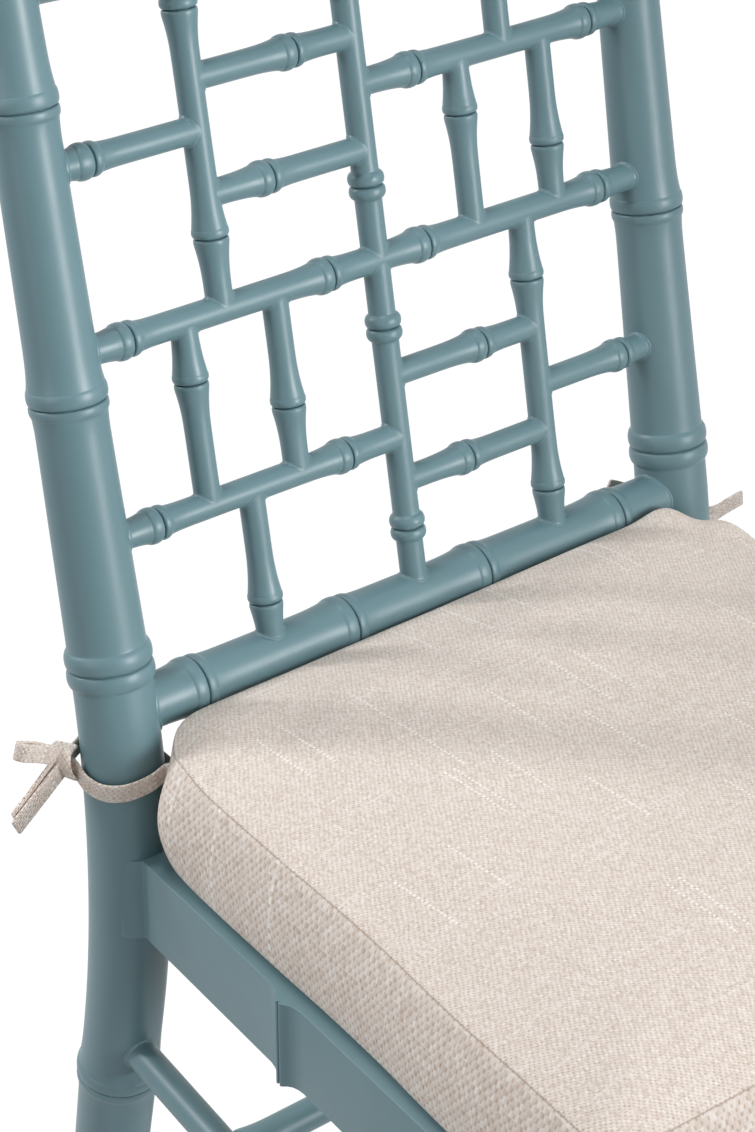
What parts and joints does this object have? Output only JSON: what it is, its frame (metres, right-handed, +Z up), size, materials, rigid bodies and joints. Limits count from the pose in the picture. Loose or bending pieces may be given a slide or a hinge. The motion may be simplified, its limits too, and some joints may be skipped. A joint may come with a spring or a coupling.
{
  "type": "counter stool",
  "caption": "Counter-height stool of painted turned wood shaped like bamboo, with a reclined fretwork back, splayed rear legs, stretchers and a tied box cushion.",
  "frame": {"origin": "on the floor under the middle of the stool's box", "axes": "+X to the right as seen from the front, +Y towards the back, +Z up"},
  "size_m": [0.5437, 0.546, 1.0869],
  "materials": {
    "painted_wood": "dusty teal-blue satin paint over turned hardwood",
    "bare_wood": "bare plywood and hardwood under the seat",
    "cushion_fabric": "oatmeal basket weave with pale slub threads",
    "tie_fabric": "folded and stitched tape of the cushion's fabric",
    "glide_plastic": "pale moulded plastic",
    "screw_steel": "zinc-plated steel"
  },
  "bodies": {
    "root": {"block_screws": "screw_steel", "bottom_rail": "painted_wood", "corner_block_front_left": "bare_wood", "corner_block_front_right": "bare_wood", "corner_block_rear_left": "bare_wood", "corner_block_rear_right": "bare_wood", "cushion_tie_left": "tie_fabric", "cushion_tie_right": "tie_fabric", "foot_glide_front_left": "glide_plastic", "foot_glide_front_right": "glide_plastic", "foot_glide_rear_left": "glide_plastic", "foot_glide_rear_right": "glide_plastic", "front_foot_rail": "painted_wood", "front_leg_left": "painted_wood", "front_leg_right": "painted_wood", "front_rail": "painted_wood", "left_stile": "painted_wood", "lower_centre_stile": "painted_wood", "lower_left_rail": "painted_wood", "lower_left_spindle_end": "painted_wood", "lower_left_spindle_far": "painted_wood", "lower_left_spindle_near": "painted_wood", "lower_right_rung_far": "painted_wood", "lower_right_rung_near": "painted_wood", "lower_right_rung_post": "painted_wood", "lower_stretcher_left": "painted_wood", "lower_stretcher_right": "painted_wood", "middle_rail": "painted_wood", "panel_screws": "screw_steel", "rear_post_left": "painted_wood", "rear_post_right": "painted_wood", "rear_rail": "painted_wood", "rear_stretcher": "painted_wood", "right_stile": "painted_wood", "seat_cushion": "cushion_fabric", "seat_panel": "bare_wood", "side_rail_left": "painted_wood", "side_rail_right": "painted_wood", "top_rail": "painted_wood", "upper_centre_stile": "painted_wood", "upper_left_rung_far": "painted_wood", "upper_left_rung_near": "painted_wood", "upper_left_rung_post": "painted_wood", "upper_right_rail": "painted_wood", "upper_right_spindle_end": "painted_wood", "upper_right_spindle_far": "painted_wood", "upper_right_spindle_near": "painted_wood", "upper_stretcher_left": "painted_wood", "upper_stretcher_right": "painted_wood"}
  },
  "joints": []
}
